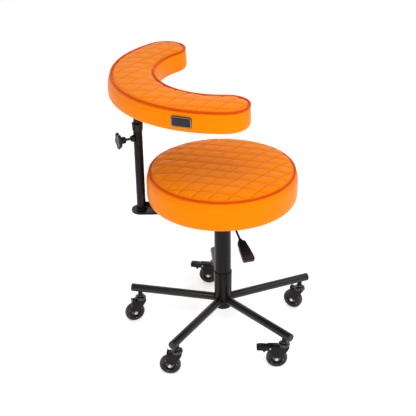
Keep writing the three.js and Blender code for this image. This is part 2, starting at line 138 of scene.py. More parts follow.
# Quilting: each family of seams has a direction normal to it, a spacing and a first seam.
SEAT_QUILT = ((142, 43.2, -6), (75.5, 42.8, -2))
REST_QUILT = ((144.6, 44.2, 18.4), (77.6, 42.5, 5.8))
SEAT_PUFF = 4.2
REST_PUFF = 3.3
TOPSTITCH_DROP = 13.5

# ---- Frames --------------------------------------------------------------------------------------

column_low, column_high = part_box("column_tube")
AXIS = Vector(((column_low.x + column_high.x) / 2, (column_low.y + column_high.y) / 2, 0))
LIFT = Matrix.Translation(AXIS) @ Matrix.Scale(MM, 4)


def turned(parent, x, y, degrees, z=0):
    """A frame inside another one, moved and then turned about Z."""
    return parent @ Matrix.Translation((x, y, z)) @ Matrix.Rotation(math.radians(degrees), 4, "Z")


def tilted(parent, x, y, z, axis, degrees):
    """A frame inside another one, moved and then turned about one of its axes."""
    return parent @ Matrix.Translation((x, y, z)) @ Matrix.Rotation(math.radians(degrees), 4, axis)


def leg_frame(number):
    return turned(LIFT, 0, 0, FIRST_LEG_ANGLE + (number - 1) * 360 / LEG_COUNT)


def caster_frame(number):
    leg_angle = FIRST_LEG_ANGLE + (number - 1) * 360 / LEG_COUNT
    return turned(leg_frame(number), STEM_REACH, 0, PARKED_ANGLES[number - 1] - leg_angle)


POST = turned(turned(LIFT, 0, 0, ARM_ANGLE), POST_REACH, 0, KNOB_ANGLE - ARM_ANGLE)
CLAMP = tilted(POST, 0, 0, KNOB_HEIGHT, "Y", 90)
LEVER = turned(LIFT, 0, 0, LEVER_ANGLE) @ Matrix.Translation(LEVER_PIVOT)
LEVER = LEVER @ Matrix.Rotation(math.radians(90 + LEVER_SLOPE), 4, "Y")
REST = turned(LIFT, *REST_CENTRE, REST_ANGLE)

# ---- Shapes: each is a list of points and a list of faces ----------------------------------------


def rounded(points, radius, closed=False, steps=4):
    """An outline with its corners rounded off by up to the radius."""
    result = []
    count = len(points)
    for index, point in enumerate(points):
        if not closed and index in (0, count - 1):
            result.append(tuple(point))
            continue
        before, here, after = (Vector(points[k % count]) for k in (index - 1, index, index + 1))
        reach_back = min(radius, 0.45 * (here - before).length)
        reach_on = min(radius, 0.45 * (after - here).length)
        start = here + (before - here).normalized() * reach_back
        end = here + (after - here).normalized() * reach_on
        for step in range(steps + 1):
            t = step / steps
            result.append(tuple(start.lerp(here, t).lerp(here.lerp(end, t), t)))
    return result


def polar(radius, degrees):
    """A point of a circle about the origin."""
    angle = math.radians(degrees)
    return radius * math.cos(angle), radius * math.sin(angle)


def band(inner, outer, bottom, top):
    """The profile of a plain ring or bar."""
    return [(inner, bottom), (outer, bottom), (outer, top), (inner, top)]


def loft(outline, levels, closed=False):
    """Rings made by outline(grow) at each [grow, height], joined one to the next."""
    points, rings = [], []
    for grow, height in levels:
        ring = outline(grow)
        rings.append(range(len(points), len(points) + len(ring)))
        points += [(x, y, height) for x, y in ring]
    count = len(rings[0])
    faces = []
    for low, high in zip(rings, rings[1:] + rings[:1] if closed else rings[1:]):
        for k in range(count):
            after = (k + 1) % count
            faces.append((low[k], low[after], high[after], high[k]))
    if not closed:
        faces.append(tuple(reversed(rings[0])))
        faces.append(tuple(rings[-1]))
    return points, faces


def circle(segments):
    """An outline function: a circle whose radius is the amount given."""
    angles = [2 * math.pi * k / segments for k in range(segments)]
    return lambda radius: [(radius * math.cos(a), radius * math.sin(a)) for a in angles]


def lathe(profile, segments=56, closed=False, rounding=0.0):
    """A solid of revolution about Z. Its [radius, height] points run up the outside."""
    if rounding:
        profile = rounded(profile, rounding, closed)
    return loft(circle(segments), profile, closed)


def arc(cx, cy, radius, start, end, count):
    """Points along an arc, its angles in degrees."""
    angles = [math.radians(start + (end - start) * k / count) for k in range(count + 1)]
    return [(cx + radius * math.cos(a), cy + radius * math.sin(a)) for a in angles]


def crescent(grow, held_back=0.0):
    """The rest's outline, grown outwards, with its middle on +X. Its tips can be held back."""
    half = REST_HALF_ANGLE - math.degrees(held_back * max(grow, 0) / REST_MIDDLE)
    end_x = REST_MIDDLE * math.cos(math.radians(half))
    end_y = REST_MIDDLE * math.sin(math.radians(half))
    radius = REST_HALF_WIDTH + grow
    outer = arc(0, 0, REST_MIDDLE + radius, -half, half, 90)
    upper = arc(end_x, end_y, radius, half, half + 180, 40)
    inner = arc(0, 0, REST_MIDDLE - radius, half, -half, 60)
    lower = arc(end_x, -end_y, radius, 180 - half, 360 - half, 40)
    return outer[:-1] + upper[:-1] + inner[:-1] + lower[:-1]


def rounded_rectangle(width, height, radius, steps=6):
    x, y = width / 2 - radius, height / 2 - radius
    return (
        arc(x, y, radius, 0, 90, steps)
        + arc(-x, y, radius, 90, 180, steps)
        + arc(-x, -y, radius, 180, 270, steps)
        + arc(x, -y, radius, 270, 360, steps)
    )


def prism(outline, bottom, top, bevel=0.0, segments=3):
    """A flat outline in XY raised from bottom to top, with its upper and lower edges rounded."""
    count = len(outline)
    work = bmesh.new()
    low = [work.verts.new((x, y, bottom)) for x, y in outline]
    high = [work.verts.new((x, y, top)) for x, y in outline]
    work.faces.new(list(reversed(low)))
    work.faces.new(high)
    for k in range(count):
        after = (k + 1) % count
        work.faces.new((low[k], low[after], high[after], high[k]))
    if bevel:
        flat = [e for e in work.edges if abs(e.verts[0].co.z - e.verts[1].co.z) < 1e-6]
        bmesh.ops.bevel(work, geom=flat, offset=bevel, segments=segments, affect="EDGES", profile=0.5)
    return taken(work)


def taken(work):
    """The points and faces of a bmesh, which is freed."""
    work.verts.index_update()
    points = [tuple(v.co) for v in work.verts]
    faces = [tuple(v.index for v in f.verts) for f in work.faces]
    work.free()
    return points, faces


def sweep(path, radius, sides=10, closed=True, up=(0, 0, 1)):
    """A round bead along a path. radius is a number, or a function of the share of the way."""
    up = Vector(up)
    count = len(path)
    points = [Vector(p) for p in path]
    vertices = []
    for k, here in enumerate(points):
        before = points[k - 1] if closed or k else here
        after = points[(k + 1) % count] if closed or k < count - 1 else here
        along = (after - before).normalized()
        side = along.cross(up).normalized()
        above = side.cross(along)
        size = radius(k / count) if callable(radius) else radius
        for s in range(sides):
            angle = 2 * math.pi * s / sides
            vertices.append(tuple(here + (side * math.cos(angle) + above * math.sin(angle)) * size))
    faces = []
    for k in range(count if closed else count - 1):
        for s in range(sides):
            nearby, onward = k * sides, ((k + 1) % count) * sides
            turn = (s + 1) % sides
            faces.append((nearby + s, onward + s, onward + turn, nearby + turn))
    if not closed:
        faces.append(tuple(range(sides)))
        faces.append(tuple(range((count - 1) * sides, count * sides))[::-1])
    return vertices, faces


def moved(shape, matrix):
    """A shape placed by a matrix."""
    points, faces = shape
    return [tuple(matrix @ Vector(p)) for p in points], faces


def temporary(shape):
    """A short-lived object for a boolean."""
    mesh = bpy.data.meshes.new("temporary")
    mesh.from_pydata(shape[0], [], shape[1])
    work = bmesh.new()
    work.from_mesh(mesh)
    bmesh.ops.remove_doubles(work, verts=work.verts, dist=1e-4)
    bmesh.ops.recalc_face_normals(work, faces=work.faces)
    work.to_mesh(mesh)
    work.free()
    piece = bpy.data.objects.new("temporary", mesh)
    bpy.context.scene.collection.objects.link(piece)
    return piece


def carved(first, second, operation):
    """A boolean of two closed shapes: UNION, DIFFERENCE or INTERSECT."""
    body, tool = temporary(first), temporary(second)
    applied(body, "BOOLEAN", operation=operation, solver="EXACT", object=tool)
    points = [tuple(v.co) for v in body.data.vertices]
    faces = [tuple(p.vertices) for p in body.data.polygons]
    for piece in (body, tool):
        bpy.data.objects.remove(piece)
    return points, faces


def evaluated_mesh(piece):
    """A new mesh: the piece's own with its modifiers applied."""
    bpy.context.view_layer.update()
    graph = bpy.context.evaluated_depsgraph_get()
    return bpy.data.meshes.new_from_object(piece.evaluated_get(graph))


def applied(piece, kind, **settings):
    """Gives a piece a modifier, and makes the result its mesh."""
    modifier = piece.modifiers.new(kind.lower(), kind)
    for key, value in settings.items():
        setattr(modifier, key, value)
    mesh = evaluated_mesh(piece)
    piece.modifiers.clear()
    piece.data = mesh


def placed(name, points, faces, place):
    """An object carried from its local frame to its place on the model."""
    mesh = bpy.data.meshes.new(name)
    mesh.from_pydata(points, [], faces)
    cleaned(mesh)
    mesh.transform(place)
    piece = bpy.data.objects.new(name, mesh)
    bpy.context.scene.collection.objects.link(piece)
    return piece


def build(name, shapes, place, body, material, node=None, angle=38, bevel=0.0):
    """One piece made of closed shapes, riding on its body and standing for its CAD node."""
    points, faces = [], []
    for shape_points, shape_faces in shapes:
        start = len(points)
        points += shape_points
        faces += [tuple(start + index for index in face) for face in shape_faces]
    piece = placed(name, points, faces, place)
    if bevel:
        sharp = math.radians(40)
        applied(piece, "BEVEL", width=bevel * MM, segments=2, limit_method="ANGLE", angle_limit=sharp)
    piece.data.shade_smooth()
    piece.data.set_sharp_from_angle(angle=math.radians(angle))
    piece.data.materials.append(material)
    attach(piece, body)
    if node:
        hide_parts(node)


def cleaned(mesh):
    """Merges a mesh's doubled points and turns its faces outwards."""
    work = bmesh.new()
    work.from_mesh(mesh)
    bmesh.ops.remove_doubles(work, verts=work.verts, dist=1e-4)
    bmesh.ops.dissolve_degenerate(work, edges=work.edges, dist=1e-4)
    bmesh.ops.recalc_face_normals(work, faces=work.faces)
    work.to_mesh(mesh)
    work.free()


# ---- Materials -----------------------------------------------------------------------------------


class Finish:
    """A material's nodes around its Principled shader."""

    def __init__(self, name, color, roughness, metallic=0.0, **constants):
        self.material = bpy.data.materials.new(name)
        self.material.use_nodes = True
        self.tree = self.material.node_tree
        self.shader = self.tree.nodes["Principled BSDF"]
        self.color = (*color, 1)
        self.roughness = roughness
        self.shader.inputs["Base Color"].default_value = self.color
        self.shader.inputs["Roughness"].default_value = roughness
        self.shader.inputs["Metallic"].default_value = metallic
        for socket, value in constants.items():
            self.shader.inputs[socket.replace("_", " ")].default_value = value
        self.place = self.add("TexCoord").outputs["Object"]

    def add(self, kind, inputs=None, **settings):
        """A node, with its inputs given by name or by number as values or as other sockets."""
        made = self.tree.nodes.new("ShaderNode" + kind)
        for key, value in settings.items():
            setattr(made, key, value)
        for key, value in (inputs or {}).items():
            if isinstance(value, bpy.types.NodeSocket):
                self.tree.links.new(value, made.inputs[key])
            else:
                made.inputs[key].default_value = value
        return made

    def math(self, operation, first, second=0.0, third=0.0):
        inputs = {0: first, 1: second, 2: third}
        return self.add("Math", inputs, operation=operation).outputs[0]

    def noise(self, scale, detail=3.0, roughness=0.5, place=None):
        inputs = {"Vector": place or self.place, "Scale": scale, "Detail": detail, "Roughness": roughness}
        return self.add("TexNoise", inputs).outputs["Fac"]

    def cells(self, scale, feature="F1"):
        inputs = {"Vector": self.place, "Scale": scale}
        return self.add("TexVoronoi", inputs, feature=feature).outputs["Distance"]

    def span(self, value, low, high, to_low, to_high):
        """The value carried from one range to another, and held inside it."""
        inputs = {"Value": value, "From Min": low, "From Max": high, "To Min": to_low, "To Max": to_high}
        return self.add("MapRange", inputs).outputs["Result"]

    def tone(self, factor, color):
        """Lays a second colour over the base colour where factor says."""
        inputs = {0: factor, 6: self.color, 7: (*color, 1)}
        self.color = self.add("Mix", inputs, data_type="RGBA").outputs[2]
        self.tree.links.new(self.color, self.shader.inputs["Base Color"])

    def vary_roughness(self, factor, amount):
        spread = self.span(factor, 0.3, 0.7, self.roughness - amount, self.roughness + amount)
        self.tree.links.new(spread, self.shader.inputs["Roughness"])

    def relief(self, height, depth, strength=1.0):
        """Raises the surface's grain: depth is in metres. Later reliefs add to earlier ones."""
        inputs = {"Height": height, "Distance": depth, "Strength": strength}
        last = self.shader.inputs["Normal"]
        if last.is_linked:
            inputs["Normal"] = last.links[0].from_socket
        bump = self.add("Bump", inputs)
        self.tree.links.new(bump.outputs["Normal"], last)


def seam_distance(finish, quilt):
    """How far a point is from the nearest quilting seam, in millimetres, as a node socket."""
    nearest = None
    for angle, spacing, first in quilt:
        direction = (math.cos(math.radians(angle)), math.sin(math.radians(angle)), 0)
        shift = AXIS.x * direction[0] + AXIS.y * direction[1] + first * MM
        dot = finish.add("VectorMath", {0: finish.place, 1: direction}, operation="DOT_PRODUCT")
        turns = finish.math("DIVIDE", finish.math("SUBTRACT", dot.outputs["Value"], shift), spacing * MM)
        apart = finish.math("MULTIPLY", finish.math("PINGPONG", turns, 0.5), spacing)
        nearest = apart if nearest is None else finish.math("MINIMUM", nearest, apart)
    return nearest


def leatherette(name, color, dark, quilt=None, quilt_height=0.0):
    """Glossy upholstery vinyl with a fine pebble grain. With a quilt, its top is darker along each seam:
    partly the thread's colour, partly painted shade in the seam's crease.
    """
    finish = Finish(name, color, 0.34, Specular_IOR_Level=0.075, Specular_Tint=(1, 0.5, 0.1, 1))
    finish.tone(finish.span(finish.noise(7, 4), 0.35, 0.75, 0.0, 0.35), dark)
    pebbles = finish.cells(820)
    finish.tone(finish.span(pebbles, 0.45, 0.9, 0.0, 0.16), dark)
    if quilt:
        apart = seam_distance(finish, quilt)
        height = finish.add("SeparateXYZ", {0: finish.place}).outputs["Z"]
        on_top = finish.span(height, quilt_height * MM, (quilt_height + 2) * MM, 0.0, 1.0)
        # Painted shade in the crease along each quilting seam on the top, mixed with the thread's colour:
        # darker within 1.5 mm of a seam.
        line = finish.math("MULTIPLY", finish.span(apart, 0.4, 1.5, 0.75, 0.0), on_top)
        finish.tone(line, SEAM_THREAD_AND_SHADE)
    finish.vary_roughness(finish.noise(40, 4), 0.05)
    finish.relief(finish.noise(210, 4, 0.6), 0.00035, 0.35)
    finish.relief(pebbles, 0.0002, 0.45)
    return finish.material


def coated_metal(name, color, roughness, specular, coat=0.0):
    """Powder coat: a slight orange peel, fine speckle and dulled patches."""
    gloss = {"Specular_IOR_Level": specular, "Coat_Weight": coat, "Coat_Roughness": 0.12}
    finish = Finish(name, color, roughness, **gloss)
    finish.tone(finish.span(finish.noise(1400, 2), 0.55, 0.8, 0.0, 0.4), tuple(1.8 * c for c in color))
    finish.vary_roughness(finish.noise(25, 5), 0.07)
    finish.relief(finish.noise(520, 3), 0.00012, 0.5)
    return finish.material


def turned_steel(name, color, roughness):
    """Plated steel with fine turning marks and slight tarnish."""
    finish = Finish(name, color, roughness, 1.0)
    stretch = finish.add("Mapping", {"Vector": finish.place, "Scale": (1, 1, 14)}).outputs[0]
    marks = finish.noise(380, 2, 0.6, stretch)
    finish.tone(finish.span(finish.noise(60, 4), 0.5, 0.8, 0.0, 0.4), tuple(0.6 * c for c in color))
    finish.vary_roughness(marks, 0.08)
    finish.relief(marks, 0.00006, 0.4)
    return finish.material


def moulded(name, color, roughness, grain=0.00012, specular=0.3):
    """Moulded plastic with a spark-eroded grain."""
    finish = Finish(name, color, roughness, Specular_IOR_Level=specular)
    finish.tone(finish.span(finish.noise(18, 4), 0.4, 0.7, 0.0, 0.5), tuple(1.7 * c for c in color))
    finish.vary_roughness(finish.noise(90, 3), 0.06)
    finish.relief(finish.cells(1500), grain, 0.5)
    return finish.material


def wood_ply(name):
    """Birch plywood: thin plies on its edge and long grain on its faces."""
    finish = Finish(name, (0.53, 0.33, 0.15), 0.75)
    stretch = finish.add("Mapping", {"Vector": finish.place, "Scale": (1, 9, 1)}).outputs[0]
    grain = finish.noise(14, 6, 0.65, stretch)
    finish.tone(finish.span(grain, 0.35, 0.7, 0.0, 0.7), (0.36, 0.2, 0.08))
    height = finish.add("SeparateXYZ", {0: finish.place}).outputs["Z"]
    plies = finish.math("PINGPONG", finish.math("MULTIPLY", height, 1000 / 1.5), 1.0)
    finish.tone(finish.span(plies, 0.55, 0.75, 0.0, 0.35), (0.22, 0.12, 0.05))
    finish.relief(grain, 0.0003, 0.4)
    return finish.material


def felt(name):
    """Thin black non-woven cloth."""
    finish = Finish(name, (0.016, 0.015, 0.016), 0.95, Specular_IOR_Level=0.15, Sheen_Weight=0.25)
    fibres = finish.noise(1600, 3, 0.7)
    finish.tone(finish.span(fibres, 0.45, 0.75, 0.0, 0.8), (0.05, 0.048, 0.05))
    dimples = finish.cells(420)
    finish.relief(dimples, 0.0002, 0.6)
    finish.relief(fibres, 0.0002, 0.4)
    return finish.material


def twisted_thread(name, color):
    finish = Finish(name, color, 0.7, Specular_IOR_Level=0.1)
    twist = finish.add("TexWave", {"Vector": finish.place, "Scale": 900.0, "Distortion": 1.0}).outputs["Fac"]
    finish.tone(finish.span(twist, 0.2, 0.8, 0.0, 0.35), tuple(0.75 * c for c in color))
    return finish.material


ORANGE = (0.91, 0.24, 0.0018)
DEEP_ORANGE = (0.84, 0.18, 0.0015)
# The seam line's colour: partly the thread's, partly painted shade in the crease.
SEAM_THREAD_AND_SHADE = (0.62, 0.09, 0.002)
PIPING_RED = (0.68, 0.07, 0.006)
COAT_BLACK = (0.007, 0.0042, 0.0044)

seat_leather = leatherette("seat_leather", ORANGE, DEEP_ORANGE, SEAT_QUILT, SEAT_PIPING_HEIGHT + 1)
rest_leather = leatherette("rest_leather", ORANGE, DEEP_ORANGE, REST_QUILT, REST_PIPING_HEIGHT - 3)
piping_leather = leatherette("piping_leather", PIPING_RED, (0.5, 0.05, 0.006))
thread = twisted_thread("thread", (0.85, 0.17, 0.003))
black_coat = coated_metal("black_coat", COAT_BLACK, 0.3, 0.17)
leg_coat = coated_metal("leg_coat", COAT_BLACK, 0.3, 0.42)
gloss_coat = coated_metal("gloss_coat", (0.006, 0.0045, 0.005), 0.2, 0.5, 0.5)
bright_steel = turned_steel("bright_steel", (0.56, 0.55, 0.54), 0.25)
dull_steel = turned_steel("dull_steel", (0.09, 0.09, 0.1), 0.25)
bearing_steel = turned_steel("bearing_steel", (0.36, 0.29, 0.22), 0.3)
wheel_black = moulded("wheel_black", (0.006, 0.005, 0.0055), 0.2, 0.00003)
tyre_black = moulded("tyre_black", (0.008, 0.007, 0.0075), 0.18, 0.00004, 0.5)
black_plastic = moulded("black_plastic", (0.0075, 0.006, 0.0065), 0.36)
# A lighter grey plastic for the band across the paddle's end.
lighter_band_plastic = moulded("lighter_band_plastic", (0.022, 0.018, 0.019), 0.36)
badge_black = moulded("badge_black", (0.012, 0.011, 0.012), 0.3, 0.00004)
plywood = wood_ply("plywood")
cover_felt = felt("cover_felt")

# ---- Cushions ------------------------------------------------------------------------------------

# The mesh's cell in metres, and the cloth simulation's length and pressure.
VOXEL = 0.0045
FRAMES = 20
PRESSURE = 4.0


def positions(mesh):
    """A mesh's points as rows, in metres."""
    points = np.empty(len(mesh.vertices) * 3, np.float32)
    mesh.vertices.foreach_get("co", points)
    return points.reshape(-1, 3).astype(float)


def set_positions(mesh, points):
    mesh.vertices.foreach_set("co", points.astype(np.float32).ravel())
    mesh.update()


def from_axis(points):
    """Rows in metres in the row frame, as millimetres from the lift's axis."""
    return (points - np.array(AXIS)) / MM


def smoothed(mesh, rounds):
    work = bmesh.new()
    work.from_mesh(mesh)
    axes = {"use_axis_x": True, "use_axis_y": True, "use_axis_z": True}
    for _ in range(rounds):
        bmesh.ops.smooth_vert(work, verts=work.verts, factor=0.5, **axes)
    work.to_mesh(mesh)
    work.free()


def remeshed(name, shape, place):
    """The shape as an even mesh of small faces."""
    piece = placed(name, *shape, place)
    applied(piece, "REMESH", mode="VOXEL", voxel_size=VOXEL)
    smoothed(piece.data, 3)
    return piece


def inflate(piece, pinned, cap):
    """Fills a cushion by cloth simulation. pinned is true for the points that are sewn or stapled."""
    rest = positions(piece.data)
    group = piece.vertex_groups.new(name="sewn")
    group.add([int(i) for i in np.flatnonzero(pinned)], 1.0, "REPLACE")
    cloth = piece.modifiers.new("cloth", "CLOTH")
    cloth.settings.quality = 5
    cloth.settings.mass = 0.3
    cloth.settings.tension_stiffness = 15
    cloth.settings.compression_stiffness = 15
    cloth.settings.bending_stiffness = 0.5
    cloth.settings.use_pressure = True
    cloth.settings.uniform_pressure_force = PRESSURE
    cloth.settings.vertex_group_mass = "sewn"
    cloth.settings.effector_weights.gravity = 0
    cloth.point_cache.frame_start = 1
    cloth.point_cache.frame_end = FRAMES
    for number in range(1, FRAMES + 1):
        bpy.context.scene.frame_set(number)
    swollen = evaluated_mesh(piece)
    change = positions(swollen) - rest
    piece.modifiers.clear()
    piece.vertex_groups.clear()
    bpy.context.scene.frame_set(1)
    length = np.linalg.norm(change, axis=1)[:, None] + 1e-12
    held = change / length * cap * MM * np.tanh(length / (cap * MM))
    set_positions(piece.data, rest + held)
    smoothed(piece.data, 2)


def smoothstep(value):
    value = np.clip(value, 0, 1)
    return value * value * (3 - 2 * value)


def puff_height(x, y, quilt):
    """How high the padding stands between the seams, from 0 on a seam to 1 in a diamond's middle."""
    height = 1.0
    for angle, spacing, first in quilt:
        across = x * math.cos(math.radians(angle)) + y * math.sin(math.radians(angle)) - first
        height = height * (1 - (1 - np.abs(np.sin(math.pi * across / spacing))) ** 2.6)
    return height


def seat_inset(x, y):
    """Distance inside the seat's piping line."""
    return SEAT_PIPING_RADIUS - np.hypot(x, y)


def rest_inset(x, y):
    """Distance inside the rest's piping line."""
    turn = math.radians(REST_ANGLE)
    dx, dy = x - REST_CENTRE[0], y - REST_CENTRE[1]
    across = dx * math.cos(turn) + dy * math.sin(turn)
    along = dy * math.cos(turn) - dx * math.sin(turn)
    half = math.radians(REST_HALF_ANGLE)
    angle = np.clip(np.arctan2(along, across), -half, half)
    off_x, off_y = across - REST_MIDDLE * np.cos(angle), along - REST_MIDDLE * np.sin(angle)
    return REST_HALF_WIDTH - np.hypot(off_x, off_y)


def sew(piece, inset, seam_height, quilt, puff):
    """Quilts the top, and pulls in the seam at the piping and the topstitched line below it."""
    mesh = piece.data
    points = positions(mesh)
    normals = np.array([v.normal for v in mesh.vertices])
    x, y, z = from_axis(points).T
    inside = inset(x, y)
    top = smoothstep((inside - 3) / 6) * smoothstep((z - seam_height + 2) / 3)
    rise = puff * top * puff_height(x, y, quilt)
    points[:, 2] += rise * MM
    wall = smoothstep((-inside + 6) / 6)
    stitched = np.exp(-(((z - seam_height + TOPSTITCH_DROP) / 1.9) ** 2)) * 1.1
    swell = np.exp(-(((z - seam_height + 8) / 3.2) ** 2)) * 0.7
    points += normals * ((swell - stitched) * wall * MM)[:, None]
    set_positions(mesh, points)


# Stitches, in millimetres.
STITCH_LENGTH = 3.3
STITCH_PITCH = 4.6
STITCH_RADIUS = 0.36


def stitch_shape(middle, along, out):
    """One stitch: a small spindle lying on the surface."""
    side = along.cross(out).normalized()
    half = along * STITCH_LENGTH / 2
    sink = out * STITCH_RADIUS * 0.5
    points = [middle - half - sink]
    for share in (-0.55, 0.55):
        for k in range(6):
            angle = math.pi * k / 3
            ring = side * math.cos(angle) + out * math.sin(angle)
            points.append(middle + half * share + ring * STITCH_RADIUS)
    points.append(middle + half - sink)
    faces = []
    for k in range(6):
        after = (k + 1) % 6
        faces.append((0, 1 + k, 1 + after))
        faces.append((1 + k, 7 + k, 7 + after, 1 + after))
        faces.append((7 + k, 13, 7 + after))
    return [tuple(p) for p in points], faces


def quilting_stitches(tree, inset, quilt, top, reach):
    """Stitches along both families of seams, dropped onto the cushion's top."""
    shapes = []
    for angle, spacing, first in quilt:
        normal = Vector((math.cos(math.radians(angle)), math.sin(math.radians(angle)), 0))
        along = Vector((-normal.y, normal.x, 0))
        rows = range(-int(reach / spacing), int(reach / spacing) + 1)
        steps = range(-int(reach / STITCH_PITCH), int(reach / STITCH_PITCH) + 1)
        for row in rows:
            for step in steps:
                spot = normal * (first + row * spacing) + along * (step * STITCH_PITCH)
                if inset(spot.x, spot.y) < 6:
                    continue
                above = AXIS + spot * MM + Vector((0, 0, top * MM))
                hit, out, _, _ = tree.ray_cast(above, Vector((0, 0, -1)))
                if hit:
                    tangent = (along - out * along.dot(out)).normalized()
                    shapes.append(stitch_shape((hit - AXIS) / MM, tangent, out))
    return shapes


def wall_stitches(tree, outline, place, height):
    """A row of stitches round the wall, just below the piping."""
    ring = [place @ Vector((x, y, height)) for x, y in outline]
    shapes = []
    carried = 0.0
    for start, end in zip(ring, ring[1:] + ring[:1]):
        step = end - start
        length = step.length / MM
        along = step.normalized()
        inward = Vector((0, 0, 1)).cross(along)
        while carried < length:
            spot = start + along * carried * MM
            hit, out, _, _ = tree.ray_cast(spot, inward, 0.04)
            if hit:
                tangent = (along - out * along.dot(out)).normalized()
                shapes.append(stitch_shape((hit - AXIS) / MM, tangent, out))
            carried += STITCH_PITCH
        carried -= length
    return shapes


def seat_outline(grow):
    return circle(128)(SEAT_PIPING_RADIUS + grow)


def cushion(name, shape, place, recess, top, inset, quilt, puff, material, body, node):
    """A swollen and quilted pad. Returns the tree of its surface, for laying stitches on."""
    piece = remeshed(name, shape, place)
    x, y, z = from_axis(positions(piece.data)).T
    seam = (np.abs(inset(x, y) - 4) < 3.5) & (np.abs(z - top + 1) < 4)
    stapled = z < recess + 1
    inflate(piece, seam | stapled, 5.0)
    applied(piece, "SUBSURF", levels=1, render_levels=1)
    sew(piece, inset, top, quilt, puff)
    piece.data.shade_smooth()
    piece.data.materials.clear()
    piece.data.materials.append(material)
    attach(piece, body)
    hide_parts(node)
    return BVHTree.FromObject(piece, bpy.context.evaluated_depsgraph_get())


def seat_cushion():
    low, top = SEAT_BOTTOM, SEAT_PIPING_HEIGHT
    recess = low + 2.4 + BOARD_THICKNESS
    middle = -SEAT_PIPING_RADIUS + 4
    board = SEAT_BOARD_RADIUS + 0.6 - SEAT_PIPING_RADIUS
    levels = [(middle, recess), (board, recess), (board, low + 1), (-8, low - 0.5), (2, low + 2)]
    levels += [(7.6, low + 10), (9.2, low + 26), (9.2, top - 24), (7.4, top - 10), (-1, top - 2.5)]
    levels += [(-4.5, top + 1.5), (-7, top + 6.5), (-15, top + 9), (-60, top + 10), (middle, top + 10.5)]
    shape = loft(seat_outline, levels)
    tree = cushion("seat_pad", shape, LIFT, recess, top, seat_inset, SEAT_QUILT, SEAT_PUFF,
                   seat_leather, "seat", "seat_cushion")
    rows = quilting_stitches(tree, seat_inset, SEAT_QUILT, top + 60, SEAT_PIPING_RADIUS)
    rows += wall_stitches(tree, seat_outline(25), LIFT, top - TOPSTITCH_DROP)
    build("seat_stitching", rows, LIFT, "seat", thread)


def rest_cushion():
    low, top = REST_BOTTOM, REST_PIPING_HEIGHT
    recess = low + 2.4 + BOARD_THICKNESS
    levels = [(-40, recess), (-17.4, recess), (-17.4, low + 1), (-8, low - 0.5), (5, low + 0.8)]
    levels += [(10.6, low + 6.5), (11, low + 20), (9.0, top - 18), (6.6, top - 8), (-1, top - 2.5)]
    levels += [(-4.5, top + 0.5), (-9, top + 1.5), (-18, top + 3), (-40, top + 4.2)]
    shape = loft(lambda grow: crescent(grow, 0.7), levels)
    tree = cushion("rest_pad", shape, REST, recess, top, rest_inset, REST_QUILT, REST_PUFF,
                   rest_leather, "rest", "rest_cushion")
    rows = quilting_stitches(tree, rest_inset, REST_QUILT, top + 60, 420)
    rows += wall_stitches(tree, crescent(25), REST, top - TOPSTITCH_DROP)
    build("rest_stitching", rows, LIFT, "rest", thread)
    return wall_radius(tree)


def wall_radius(tree):
    """How far the rest's outer wall stands from the arc's centre behind the badge."""
    reach = 0
    for up in (-0.4, 0, 0.4):
        place = turned(LIFT, *REST_CENTRE, BADGE_ANGLE, BADGE_HEIGHT + up * BADGE_TALL)
        centre = place.translation
        outwards = place.to_3x3() @ Vector((1, 0, 0))
        hit, _, _, _ = tree.ray_cast(centre + outwards.normalized() * 0.5, -outwards.normalized())
        reach = max(reach, (hit - centre).length / MM)
    return reach


def piping(name, outline, place, height, body, node):
    """A round welt along the seam."""
    section = [(grow, height + up) for grow, up in circle(14)(PIPING_RADIUS)]
    build(name, [loft(outline, section, closed=True)], place, body, piping_leather, node)


# ---- Base ----------------------------------------------------------------------------------------


def weld_path(tube_radius, host_radius, height, count=56):
    """Where a level tube along +X meets an upright round host."""
    path = []
    for k in range(count):
        angle = 2 * math.pi * k / count
        y = tube_radius * math.sin(angle)
        z = height + tube_radius * math.cos(angle)
        path.append((math.sqrt(host_radius**2 - y**2), y, z))
    return path


def bead(size, ripples):
    """A weld bead's radius, rippled along its length."""
    return lambda share: size * (1 + 0.14 * math.sin(2 * math.pi * ripples * share))


def base_pieces():
    bore = COLUMN_RADIUS + 0.6
    hub = [(bore, HUB_BOTTOM), (HUB_RADIUS_LEGS, HUB_BOTTOM), (HUB_RADIUS_LEGS, LEG_HEIGHT + LEG_RADIUS)]
    hub += [(HUB_RADIUS_TOP, HUB_TOP - 4), (HUB_RADIUS_TOP, HUB_TOP), (bore, HUB_TOP)]
    build("hub_sleeve", [lathe(hub, 96, True, 0.9)], LIFT, "base", black_coat, "hub_tube")
    floor = COLUMN_BOTTOM + 3.5
    column = [(5.4, COLUMN_BOTTOM), (COLUMN_RADIUS, COLUMN_BOTTOM), (COLUMN_RADIUS, COLUMN_TOP)]
    column += [(COLUMN_BORE, COLUMN_TOP), (COLUMN_BORE, floor), (5.4, floor)]
    build("lift_column", [lathe(column, 96, True, 0.7)], LIFT, "base", black_coat, "column_tube")
    bush = [(14.6, BUSH_BOTTOM), (22.9, BUSH_BOTTOM), (22.9, COLUMN_TOP + 0.6), (24.4, COLUMN_TOP + 0.6)]
    bush += [(24.4, COLUMN_TOP + 2.6), (14.6, COLUMN_TOP + 2.6)]
    build("column_bush", [lathe(bush, 72, True, 0.4)], LIFT, "base", black_plastic, "guide_bush")
    rod = lathe(band(0.5, ROD_RADIUS, ROD_BOTTOM, ROD_TOP), 32, False, 0.5)
    build("lift_rod", [rod], LIFT, "base", bright_steel, "piston_rod")
    bearing = [(5.6, 98.9), (15, 98.9), (15, 101.2), (13.6, 102), (13.6, 103.6)]
    bearing += [(15, 104.4), (15, 106.7), (5.6, 106.7)]
    build("lift_bearing", [lathe(bearing, 48, True, 0.4)], LIFT, "base", bearing_steel, "thrust_bearing")
    clip = lathe(band(5.5, 9, 92, 94.4), 32, True, 0.4)
    build("lift_clip", [clip], LIFT, "base", bright_steel, "retaining_clip")
    for number in range(1, LEG_COUNT + 1):
        leg_pieces(number)


